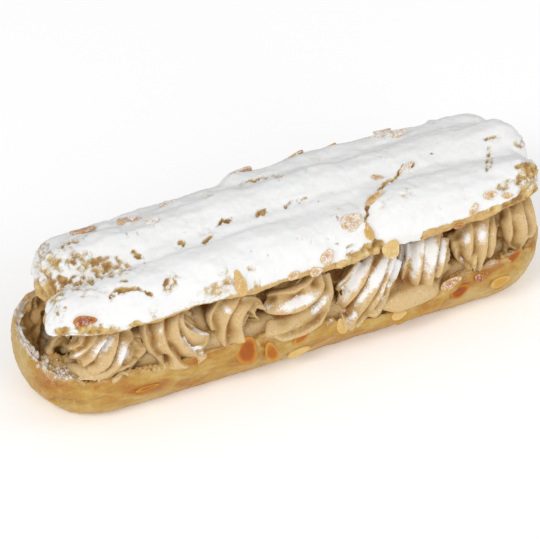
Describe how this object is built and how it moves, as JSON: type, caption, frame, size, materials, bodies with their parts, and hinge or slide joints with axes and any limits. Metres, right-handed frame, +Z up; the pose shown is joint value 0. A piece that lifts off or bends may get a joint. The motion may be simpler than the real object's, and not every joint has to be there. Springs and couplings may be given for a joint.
{
  "type": "paris-brest",
  "caption": "Finger-shaped paris-brest: split choux bun with piped praline cream showing along its open front, flaked almonds and a sugared lid.",
  "frame": {"origin": "middle of the footprint, on the surface the bun rests on", "axes": "+Z up, X along the bun, and the open front where the cream shows faces -Y"},
  "size_m": [0.1592, 0.0472, 0.0471],
  "materials": {
    "baked_choux": "baked egg-washed crust",
    "praline_cream": "soft whipped cream, slight sheen",
    "sugared_choux": "icing sugar over baked crust"
  },
  "bodies": {
    "root": {"choux_base": "baked_choux", "praline_cream": "praline_cream", "choux_lid": "sugared_choux"}
  },
  "joints": []
}
